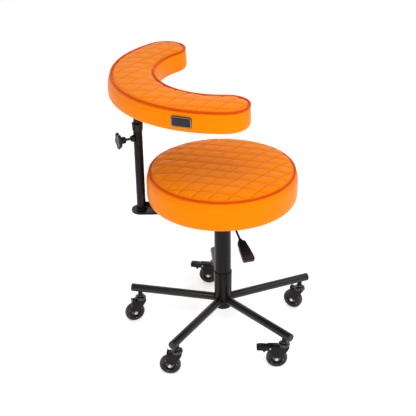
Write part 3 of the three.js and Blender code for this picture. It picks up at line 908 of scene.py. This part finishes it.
def leg_pieces(number):
    place = leg_frame(number)
    lying = Matrix.Translation((0, 0, LEG_HEIGHT)) @ Matrix.Rotation(math.pi / 2, 4, "Y")
    tube = moved(lathe(band(0.5, LEG_RADIUS, 25.2, LEG_REACH - 2.2), 56, False, 0.5), lying)
    build(f"leg_{number}", [tube], place, "base", leg_coat, f"leg_tube_{number}")
    cap = [(0.5, LEG_REACH - 2), (LEG_RADIUS - 0.5, LEG_REACH - 2), (LEG_RADIUS - 0.2, LEG_REACH - 0.8)]
    cap += [(LEG_RADIUS - 1.4, LEG_REACH + 0.4), (LEG_RADIUS - 3, LEG_REACH + 0.2), (0.5, LEG_REACH + 0.5)]
    build(f"leg_cap_{number}", [moved(lathe(cap, 56, False, 0.4), lying)], place, "base", leg_coat)
    path = weld_path(LEG_RADIUS + 0.6, HUB_RADIUS_LEGS + 0.7, LEG_HEIGHT)
    build(f"leg_weld_{number}", [sweep(path, bead(1.9, 26), up=(1, 0, 0))], place, "base", black_coat)


# ---- Casters -------------------------------------------------------------------------------------

# Turns a prism made along Z to run along X, or along Y.
ALONG_X = Matrix(((0, 0, 1, 0), (1, 0, 0, 0), (0, 1, 0, 0), (0, 0, 0, 1)))
ALONG_Y = Matrix(((1, 0, 0, 0), (0, 0, -1, 0), (0, 1, 0, 0), (0, 0, 0, 1)))


def fork_outline(braked):
    """The fork seen from its side: wide under the crown, round at the axle."""
    rear = 47 if braked else 28.5
    side = [(-15.5, FORK_TOP + 1), (-14.5, 70), (-9, 60)]
    side += [(TRAIL - 8.3, WHEEL_RADIUS + 4)] + arc(TRAIL, WHEEL_RADIUS, 8, 200, 350, 12)
    if braked:
        side += [(TRAIL + 9.5, 44), (35, 53), (rear, 61), (rear, FORK_TOP + 1)]
    else:
        side += [(rear - 0.5, 60), (rear, FORK_TOP + 1)]
    return rounded(side, 3, True, 3)


def fork_shape(braked):
    """A pressed steel fork: an upside-down U, trimmed to its side outline."""
    outer, inner, under = FORK_OUTER, FORK_INNER, FORK_TOP - 2.6
    section = rounded([(-outer, 20), (-outer, FORK_TOP), (outer, FORK_TOP), (outer, 20)], 4.5, False, 6)
    section += rounded([(inner, 20), (inner, under), (-inner, under), (-inner, 20)], 2.4, False, 4)
    channel = moved(prism(section, -30, 60), ALONG_X)
    trim = moved(prism(fork_outline(braked), -20, 20), ALONG_Y)
    return carved(channel, trim, "INTERSECT")


def dome(radius, height, segments=20):
    """A round rivet head standing on the XY plane."""
    profile = [(0.2 * radius, -0.6), (radius, -0.6), (radius, 0.15 * height)]
    profile += [(radius * math.cos(a), 0.15 * height + 0.85 * height * math.sin(a)) for a in (0.4, 0.8, 1.2)]
    profile += [(0.03 * radius, height)]
    return lathe(profile, segments)


def both_sides(shape, x, z, offset):
    """The same shape on both faces of a wheel or fork, pointing outwards."""
    near = Matrix.Translation((x, offset, z)) @ Matrix.Rotation(-math.pi / 2, 4, "X")
    far = Matrix.Translation((x, -offset, z)) @ Matrix.Rotation(math.pi / 2, 4, "X")
    return [moved(shape, near), moved(shape, far)]


def on_axle(shape):
    """A shape made about Z, carried to the wheel's axle."""
    return moved(shape, Matrix.Translation((TRAIL, 0, WHEEL_RADIUS)) @ Matrix.Rotation(math.pi / 2, 4, "X"))


def wheel_pieces(number, place):
    wheel = f"wheel_{number}"
    shoulder = [(WHEEL_RADIUS, 2), (WHEEL_RADIUS - 0.5, WHEEL_HALF_WIDTH - 3)]
    shoulder += [(WHEEL_RADIUS - 2.6, WHEEL_HALF_WIDTH), (RIM_RADIUS + 0.5, WHEEL_HALF_WIDTH)]
    tyre = on_axle(lathe(mirrored(shoulder) + shoulder, 96, True, 1.4))
    build(f"tread_{number}", [tyre], place, wheel, tyre_black, f"tyre_{number}")
    face = [(RIM_RADIUS, 7.6), (RIM_RADIUS - 1, 8.6), (18.2, 8.8), (16.8, 8.0), (15.6, 4.2)]
    face += [(11.6, 4.0), (11.4, 6.4), (10.6, 6.4), (10.4, 5.0), (4.6, 5.0)]
    centre = on_axle(lathe(mirrored(face) + face, 72, True, 0.7))
    build(f"wheel_centre_{number}", [centre], place, wheel, wheel_black, f"wheel_hub_{number}")
    ring = [(7.9, 5.2), (10.2, 5.2), (10.2, 7.0), (9.2, 7.0), (8.7, 6.6), (7.9, 6.6)]
    shapes = [on_axle(lathe(part, 40, True, 0.3)) for part in (ring, band(4.5, 6.4, 5.2, 7.2))]
    shapes += [moved(shape, Matrix.Scale(-1, 4, (0, 1, 0))) for shape in shapes]
    build(f"wheel_bearing_{number}", shapes, place, wheel, bearing_steel)
    rivets = []
    for k in range(3):
        x, z = polar(20.6, 120 * k + 24 * number)
        rivets += both_sides(dome(1.5, 0.9, 14), TRAIL + x, WHEEL_RADIUS + z, 8.7)
    build(f"wheel_rivets_{number}", rivets, place, wheel, bearing_steel)


def mirrored(profile):
    """A wheel's profile carried to its other face."""
    return [(radius, -height) for radius, height in reversed(profile)]


def stem_pieces(number):
    place = turned(leg_frame(number), STEM_REACH, 0, 0)
    bush = [(0.5, 88.8), (6.4, 88.8), (7.2, 92.4), (7.2, 97.5), (6.6, 99), (6.6, 106), (0.5, 106)]
    bush = lathe(bush, 40, False, 0.6)
    build(f"stem_bush_{number}", [bush], place, "base", black_coat, f"caster_stem_{number}")
    washer = [(0.5, CROWN_TOP + 0.3), (9.3, CROWN_TOP + 0.3), (9.3, CROWN_TOP + 1.6)]
    washer += [(7.6, CROWN_TOP + 3.6), (0.5, CROWN_TOP + 3.6)]
    shapes = [lathe(washer, 48, False, 0.7), lathe(band(0.5, 4, 72.6, CROWN_TOP + 1), 24, False, 0.4)]
    build(f"stem_washer_{number}", shapes, place, "base", dull_steel)


def fork_pieces(number, place, braked):
    body = f"caster_{number}"
    shapes = [fork_shapes[braked]]
    if not braked:
        lip = rounded([(26.4, 64), (29.2, 64), (30.4, 79.5), (28.2, 79.5)], 0.9, True, 3)
        shapes.append(moved(prism(lip, -10.5, 10.5, 1.2), ALONG_Y))
    build(f"fork_frame_{number}", shapes, place, body, black_coat, f"fork_{number}", bevel=0.35)
    race = [(4.7, 73.5), (15, 73.5), (17, FORK_TOP + 0.5), (17.5, FORK_TOP + 2), (17.5, FORK_TOP + 4.6)]
    race += [(16.7, FORK_TOP + 5.2), (17.1, FORK_TOP + 5.8), (16.2, CROWN_TOP - 2.4), (13, CROWN_TOP - 0.4)]
    race += [(10.2, CROWN_TOP), (4.7, CROWN_TOP)]
    build(f"ball_race_{number}", [lathe(race, 64, True, 0.6)], place, body, gloss_coat)
    rivets = []
    for angle in (38, 142, 218, 322):
        rivets.append(moved(dome(1.7, 1.0, 16), Matrix.Translation((*polar(15.1, angle), CROWN_TOP - 1.9))))
    build(f"race_rivets_{number}", rivets, place, body, dull_steel)
    head = [(0.3, 0), (5.8, 0), (5.8, 0.9), (4.7, 1.1), (4.6, 2.4), (3.6, 3.3), (0.3, 3.6)]
    shapes = [on_axle(lathe(band(0.3, 3.9, -12.6, 12.6), 32, False, 0.3))]
    shapes += both_sides(lathe(head, 36, False, 0.5), TRAIL, WHEEL_RADIUS, FORK_OUTER + 0.05)
    build(f"axle_bolt_{number}", shapes, place, body, bright_steel, f"axle_{number}")


def brake_pieces(number, place):
    pivot_x, pivot_z = BRAKE_PIVOT
    side = [(pivot_x - 4.5, 66), (46, 60), (54, 60), (59.5, 51.5), (63, 60), (80.5, 60.5), (82, 73.5)]
    side += [(66, 74.5), (52, 73), (44, 75.5), (pivot_x - 4.5, 75)]
    shapes = [moved(prism(rounded(side, 1.6, True, 3), -9.8, 9.8, 0.9), ALONG_Y)]
    for k in range(4):
        start = 3.4 * k
        rib = [(67 + start, 72.8), (69 + start, 72.8), (68.8 + start, 75.2), (67.2 + start, 75.2)]
        shapes.append(moved(prism(rounded(rib, 0.4, True, 2), -8, 8, 0.3), ALONG_Y))
    build(f"foot_brake_{number}", shapes, place, f"brake_{number}", black_coat, f"brake_pedal_{number}")
    rivet = both_sides(dome(2.7, 1.5, 24), pivot_x, pivot_z, FORK_OUTER + 0.1)
    build(f"brake_pivot_{number}", rivet, place, f"caster_{number}", bright_steel)


fork_shapes = {braked: fork_shape(braked) for braked in (False, True)}


def caster_pieces():
    for number in range(1, LEG_COUNT + 1):
        place = caster_frame(number)
        stem_pieces(number)
        fork_pieces(number, place, BRAKED[number - 1])
        wheel_pieces(number, place)
        if BRAKED[number - 1]:
            brake_pieces(number, place)


# ---- Lift, mechanism and lever -------------------------------------------------------------------


def hanging_bolt(x, y, z):
    """A hexagon bolt and its washer, screwed in from below."""
    hexagon = [polar(12.7 / math.sqrt(3), 60 * k + 30) for k in range(6)]
    shapes = [lathe(band(0.4, 9, z - 1.6, z), 32, False, 0.3), prism(hexagon, z - 6.8, z - 1.4, 0.7)]
    return [moved(shape, Matrix.Translation((x, y, 0))) for shape in shapes]


def mechanism_pieces():
    cylinder = [(5.7, 150), (14, 150), (14, 446), (4.6, 446), (4.6, 436), (3.4, 330), (5.7, 320)]
    build("lift_cylinder", [lathe(cylinder, 64, True, 0.6)], LIFT, "lift", gloss_coat, "gas_cylinder")
    button = lathe(band(0.3, 4, 439.6, 451.2), 28, False, 0.6)
    build("lift_valve", [button], LIFT, "valve", bright_steel, "valve_button")
    seat_mount()
    retainer = lathe(band(SOCKET_RADIUS + 0.5, HOUSING_RADIUS, 416.8, 424.6), 56, True, 0.8)
    build("arm_collar", [retainer], LIFT, "seat", black_coat, "arm_retainer")


def seat_mount():
    """The plate under the seat, with the lever's housing, the lift's socket, ribs and bolts."""
    underside = PLATE_TOP - PLATE_THICKNESS
    bore = SOCKET_BORE + 0.2
    plate = prism(rounded_rectangle(PLATE_SIDE, PLATE_SIDE, 18), underside, PLATE_TOP, 0.8)
    housing = [(bore, ARM_TOP + 0.7), (HOUSING_RADIUS, ARM_TOP + 0.7), (HOUSING_RADIUS, underside - 6)]
    housing += [(HOUSING_RADIUS + 7, underside + 0.2), (bore, underside + 0.2)]
    slot = moved(lathe(band(0.2, 6, -30, 30), 24), LIFT.inverted() @ LEVER)
    shapes = [plate, carved(lathe(housing, 72, True, 1.2), slot, "DIFFERENCE")]
    shapes.append(lathe(band(SOCKET_BORE + 0.1, SOCKET_RADIUS, SOCKET_BOTTOM, ARM_TOP + 2), 64, True, 0.6))
    for angle in (45, 135, 225, 315):
        ends = [(*polar(reach, angle), underside) for reach in (32, 62)]
        shapes.append(sweep(ends, 4, 14, False))
    build("seat_mount", shapes, LIFT, "seat", black_coat, "seat_plate")
    bolts = []
    for x in (-72, 72):
        for y in (-72, 72):
            bolts += hanging_bolt(x, y, underside)
    build("seat_bolts", bolts, LIFT, "seat", bright_steel)


def paddle_outline():
    """The paddle seen flat: narrow where the rod enters, wide and round at its end."""
    points = [(9, PADDLE_START - 2), (11.8, PADDLE_START + 4), (15.6, PADDLE_START + 36)]
    points += [(17.3, PADDLE_END - 12)] + arc(12.8, PADDLE_END - 4, 4, 0, 90, 5)
    return points + [(-x, y) for x, y in reversed(points)]


def lever_pieces():
    rod = lathe(band(0.2, 3.2, -20, PADDLE_START + 25), 32, False, 0.6)
    build("lever_bar", [rod], LEVER, "lever", black_coat, "lever_rod")
    upright = Matrix.Rotation(math.pi / 2, 4, "Z") @ Matrix.Rotation(math.pi / 2, 4, "X")
    flat = moved(prism(rounded(paddle_outline(), 3, True, 3), -5, 5, 2.6, 5), upright)
    low, high = PADDLE_START - 9, PADDLE_START + 4
    shapes = [flat, lathe([(3.5, low), (5.2, low), (6.4, high), (3.5, high)], 32, True, 0.6)]
    build("lever_grip", shapes, LEVER, "lever", black_plastic, "lever_paddle")
    # A raised band across the paddle's end, in a lighter plastic.
    end = upright @ Matrix.Translation((0, PADDLE_END - 10.5, 0))
    grip = moved(prism(rounded_rectangle(29, 15, 3), -5.7, 5.7, 0.9), end)
    build("lever_band", [grip], LEVER, "lever", lighter_band_plastic)


# ---- Arm, post and clamp -------------------------------------------------------------------------


def rings_joined(rings):
    """A closed shape from equal rings of points, one after the next, capped at both ends."""
    count = len(rings[0])
    points = [point for ring in rings for point in ring]
    faces = []
    for k in range(len(rings) - 1):
        for s in range(count):
            after = (s + 1) % count
            faces.append((k * count + s, k * count + after, (k + 1) * count + after, (k + 1) * count + s))
    faces.append(tuple(range(count))[::-1])
    faces.append(tuple(range((len(rings) - 1) * count, len(rings) * count)))
    return points, faces


def threaded(radius, pitch, start, end, sides=24):
    """A screw thread about Z, its crest winding round the bar."""
    steps = int((end - start) / pitch * 8)
    rings = []
    for k in range(steps + 1):
        z = start + (end - start) * k / steps
        depths = [0.55 * pitch * abs(2 * ((z / pitch - s / sides) % 1) - 1) for s in range(sides)]
        rings.append([(*polar(radius - depth, 360 * s / sides), z) for s, depth in enumerate(depths)])
    return rings_joined(rings)


def knob_shape():
    """A five-lobed hand knob with its hub, about Z. The profile is [radius, height, depth of lobes]."""
    hub, head, end = KNOB_HUB_START, KNOB_HEAD_START, KNOB_END
    profile = [(0.4, hub, 0), (8.6, hub, 0), (9.8, hub + 1.2, 0), (10.2, head - 3, 0)]
    profile += [(12.5, head - 0.6, 0.1), (19.5, head + 0.2, 0.6), (23.6, head + 1.6, 0.95)]
    profile += [(25.2, head + 4, 1), (KNOB_RADIUS, head + 6.5, 1), (25, end - 3, 1), (23.2, end - 0.9, 0.95)]
    profile += [(20.5, end, 0.8), (15, end - 0.3, 0.3), (11, end - 0.9, 0), (0.4, end - 1.1, 0)]
    rings = []
    for radius, height, lobing in profile:
        ring = []
        for degrees in range(0, 360, 3):
            dip = 5.6 * lobing * (0.5 - 0.5 * math.cos(math.radians(5 * degrees))) ** 1.4
            ring.append((*polar(radius - dip, degrees), height))
        rings.append(ring)
    return rings_joined(rings)


def arm_pieces():
    place = turned(LIFT, 0, 0, ARM_ANGLE)
    outline = arc(POST_REACH, 0, ARM_HALF_WIDTH, -90, 90, 40) + arc(0, 0, ARM_HALF_WIDTH, 90, 270, 40)
    flat = prism(outline, ARM_TOP - ARM_THICKNESS, ARM_TOP, 1.2)
    bore = lathe(band(0.2, SOCKET_RADIUS + 0.6, ARM_TOP - 12, ARM_TOP + 4), 64)
    build("swing_arm", [carved(flat, bore, "DIFFERENCE")], place, "rest_arm", black_coat, "bracket_arm")
    rib = prism(rounded_rectangle(172, 5, 2), ARM_TOP - 1, ARM_TOP + 8, 1)
    rib = moved(rib, Matrix.Translation((146, -26.5, 0)))
    build("arm_rib", [rib], place, "rest_arm", black_coat)
    post = lathe(band(POST_BORE, POST_RADIUS, ARM_TOP - 3, POST_TOP), 64, True, 0.5)
    build("post_sleeve", [post], POST, "rest_arm", black_coat, "post_tube")
    around = [(x, y, ARM_TOP + 0.9) for x, y in circle(64)(14.6)]
    build("post_weld", [sweep(around, bead(2.7, 30))], POST, "rest_arm", black_coat)
    inside, outside = POST_RADIUS + 0.3, COLLAR_RADIUS - 1
    collar = [(inside, COLLAR_BOTTOM), (outside, COLLAR_BOTTOM), (COLLAR_RADIUS - 0.4, COLLAR_BOTTOM + 3.4)]
    collar += [(COLLAR_RADIUS + 0.9, COLLAR_TOP - 4), (COLLAR_RADIUS + 0.7, COLLAR_TOP - 1.5)]
    collar += [(outside, COLLAR_TOP), (11.5, COLLAR_TOP), (11.5, POST_TOP + 0.4), (inside, POST_TOP + 0.4)]
    build("post_cap", [lathe(collar, 64, True, 0.7)], POST, "rest_arm", black_plastic, "post_collar")
    boss = [(4.4, 12), (11, 12), (10, 16), (7.6, 22.5), (4.4, 22.5)]
    around = [(y, z, x) for x, y, z in weld_path(10.2, 13.4, 0)]
    shapes = [lathe(boss, 48, True, 0.8), sweep(around, bead(1.7, 22))]
    build("clamp_boss", shapes, CLAMP, "rest_arm", black_coat, "knob_boss")
    screw = threaded(3.95, 1.25, 11.5, KNOB_HEAD_START)
    build("clamp_thread", [screw], CLAMP, "clamp", dull_steel, "clamp_screw")
    build("hand_knob", [knob_shape()], CLAMP, "knob", black_plastic, "clamp_knob", angle=50)
    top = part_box("inner_post")[1].z / MM
    inner = lathe(band(0.4, INNER_POST_RADIUS, INNER_POST_BOTTOM, top), 56, False, 0.8)
    build("rest_stem", [inner], POST, "rest_post", black_coat, "inner_post")


# ---- Rest: plate, badge and cover ----------------------------------------------------------------


def badge_pieces(wall):
    """A blank name plate bent to the wall, its rim standing proud of a recessed face."""
    place = turned(LIFT, *REST_CENTRE, BADGE_ANGLE)
    outline = rounded_rectangle(BADGE_WIDTH, BADGE_TALL, 5, 8)
    levels = [(0.02, 1.0), (0.5, 1.0), (0.86, 1.0), (0.88, 1.1), (0.9, 1.9), (0.97, 1.9)]
    levels += [(1.0, 1.4), (1.0, -1.6)]
    rings = []
    for share, height in levels:
        inset = BADGE_TALL / 2 * (1 - share)
        ring = []
        for across, up in outline:
            x = across - math.copysign(inset, across) if share > 0.5 else across * share
            ring.append(on_wall(wall, height, x, up * share))
        rings.append(ring)
    build("badge_plate", [rings_joined(rings)], place, "rest", badge_black, "name_badge")
    rim = [on_wall(wall, 1.9, x * 0.93, y * 0.87) for x, y in outline]
    rim = sweep(rim, 0.55, 8, up=(1, 0, 0))
    build("badge_rim", [rim], place, "rest", bright_steel)


def on_wall(wall, height, across, up):
    """A point of the badge, bent round the rest's outer wall."""
    angle = across / wall
    return ((wall + height) * math.cos(angle), (wall + height) * math.sin(angle), BADGE_HEIGHT + up)


def underside_pieces():
    top = REST_BOTTOM + 1.7
    low = top - 3.8
    plate = prism(rounded_rectangle(70, 110, 12), top - 4, top, 0.8)
    plate = moved(plate, Matrix.Translation((REST_MIDDLE, 0, 0)))
    build("rest_mount", [plate], REST, "rest", black_coat, "rest_plate")
    screw = lathe([(0.3, top - 6.4), (4.2, top - 5.8), (5.2, low), (0.3, low)], 24, False, 0.3)
    screws = []
    for x in (-25, 25):
        for y in (-44, 44):
            screws.append(moved(screw, Matrix.Translation((REST_MIDDLE + x, y, 0))))
    build("rest_screws", screws, REST, "rest", bright_steel)
    cover = [(-60, 1.84), (-18, 1.8), (-9, -0.4), (-8.6, -0.1), (-18, 1.95), (-60, 1.97)]
    cover = [(grow, REST_BOTTOM + height) for grow, height in cover]
    build("rest_dust_cover", [loft(crescent, cover, True)], REST, "rest", cover_felt)
    cover = [(95, 465.75), (176, 465.2), (188, 463.9), (189, 464.2), (177, 465.6), (95, 466.1)]
    build("seat_dust_cover", [lathe(cover, 96, True)], LIFT, "seat", cover_felt)


# ---- Everything ----------------------------------------------------------------------------------

base_pieces()
caster_pieces()
mechanism_pieces()
lever_pieces()
arm_pieces()
seat_cushion()
piping("seat_welt", seat_outline, LIFT, SEAT_PIPING_HEIGHT, "seat", "seat_piping")
rest_wall = rest_cushion()
piping("rest_welt", crescent, REST, REST_PIPING_HEIGHT, "rest", "rest_piping")
badge_pieces(rest_wall)
underside_pieces()
for board in ("seat_board", "rest_board"):
    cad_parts[board].data.materials.clear()
    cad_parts[board].data.materials.append(plywood)

# ---- Floor, light and camera ---------------------------------------------------------------------

# Half the floor's side in metres, and the sky's strengths.
FLOOR = 14
SKY_DIM = 0.22
SKY_BRIGHT = 1.04


def studio():
    finish = Finish("floor_paint", (0.93, 0.93, 0.93), 0.9, Specular_IOR_Level=0.1, Emission_Strength=0.45)
    finish.shader.inputs["Emission Color"].default_value = (1, 1, 1, 1)
    finish.tone(finish.span(finish.noise(3, 3), 0.3, 0.7, 0.0, 0.3), (0.91, 0.91, 0.91))
    mesh = bpy.data.meshes.new("floor")
    corners = [(-FLOOR, -FLOOR, 0), (FLOOR, -FLOOR, 0), (FLOOR, FLOOR, 0), (-FLOOR, FLOOR, 0)]
    mesh.from_pydata(corners, [], [(0, 1, 2, 3)])
    floor = bpy.data.objects.new("floor", mesh)
    bpy.context.scene.collection.objects.link(floor)
    mesh.materials.append(finish.material)
    world = bpy.data.worlds.new("studio")
    world.use_nodes = True
    sky(world.node_tree)
    bpy.context.scene.world = world
    panel("key", (-0.2, -2.2, 3.2), (0, 0, 0.5), 2.0, 58)
    panel("fill", (1.9, -0.9, 2.6), (0, 0, 0.5), 1.8, 24)


def sky(tree):
    """Bright all round the horizon and behind the stool, and dimmer in front of it and overhead."""
    place = tree.nodes.new("ShaderNodeTexCoord").outputs["Generated"]
    parts = tree.nodes.new("ShaderNodeSeparateXYZ")
    tree.links.new(place, parts.inputs[0])
    behind = gradient(tree, parts.outputs["Y"], -0.1, 0.75, SKY_DIM, SKY_BRIGHT)
    horizon = gradient(tree, parts.outputs["Z"], 0.1, 0.45, SKY_BRIGHT, SKY_DIM)
    brighter = tree.nodes.new("ShaderNodeMath")
    brighter.operation = "MAXIMUM"
    tree.links.new(behind, brighter.inputs[0])
    tree.links.new(horizon, brighter.inputs[1])
    tree.nodes["Background"].inputs["Color"].default_value = (1, 1, 1, 1)
    tree.links.new(brighter.outputs[0], tree.nodes["Background"].inputs["Strength"])


def gradient(tree, value, low, high, to_low, to_high):
    """The value carried smoothly from one range to another."""
    ramp = tree.nodes.new("ShaderNodeMapRange")
    ramp.interpolation_type = "SMOOTHSTEP"
    tree.links.new(value, ramp.inputs["Value"])
    for name, amount in (("From Min", low), ("From Max", high), ("To Min", to_low), ("To Max", to_high)):
        ramp.inputs[name].default_value = amount
    return ramp.outputs["Result"]


def panel(name, spot, target, size, power):
    """A square soft light aimed at a point."""
    light = bpy.data.lights.new(name, "AREA")
    light.size = size
    light.energy = power
    lamp = bpy.data.objects.new(name, light)
    lamp.location = spot
    lamp.rotation_euler = (Vector(target) - Vector(spot)).to_track_quat("-Z", "Y").to_euler()
    bpy.context.scene.collection.objects.link(lamp)


def turned_pair(first, second, angle):
    """Two perpendicular directions turned in their own plane, the first towards the second."""
    cos, sin = math.cos(angle), math.sin(angle)
    return first * cos + second * sin, second * cos - first * sin


def camera():
    """The viewing position: about 28 degrees above the stool, from the front."""
    down, yaw, roll = math.radians(27.786), math.radians(-0.839), math.radians(-0.463)
    data = bpy.data.cameras.new("camera")
    data.lens = 84.86
    data.sensor_width = 36
    view = bpy.data.objects.new("camera", data)
    right = Vector((1, 0, 0))
    ahead = Vector((0, math.cos(down), -math.sin(down)))
    above = Vector((0, math.sin(down), math.cos(down)))
    ahead, right = turned_pair(ahead, right, yaw)
    right, above = turned_pair(right, above, roll)
    turn = Matrix((right, above, -ahead)).transposed().to_4x4()
    view.matrix_world = Matrix.Translation(AXIS + Vector((0, -2.5753, 1.7853))) @ turn
    bpy.context.scene.collection.objects.link(view)
    bpy.context.scene.camera = view


studio()
camera()
bpy.context.scene.view_settings.view_transform = "Standard"
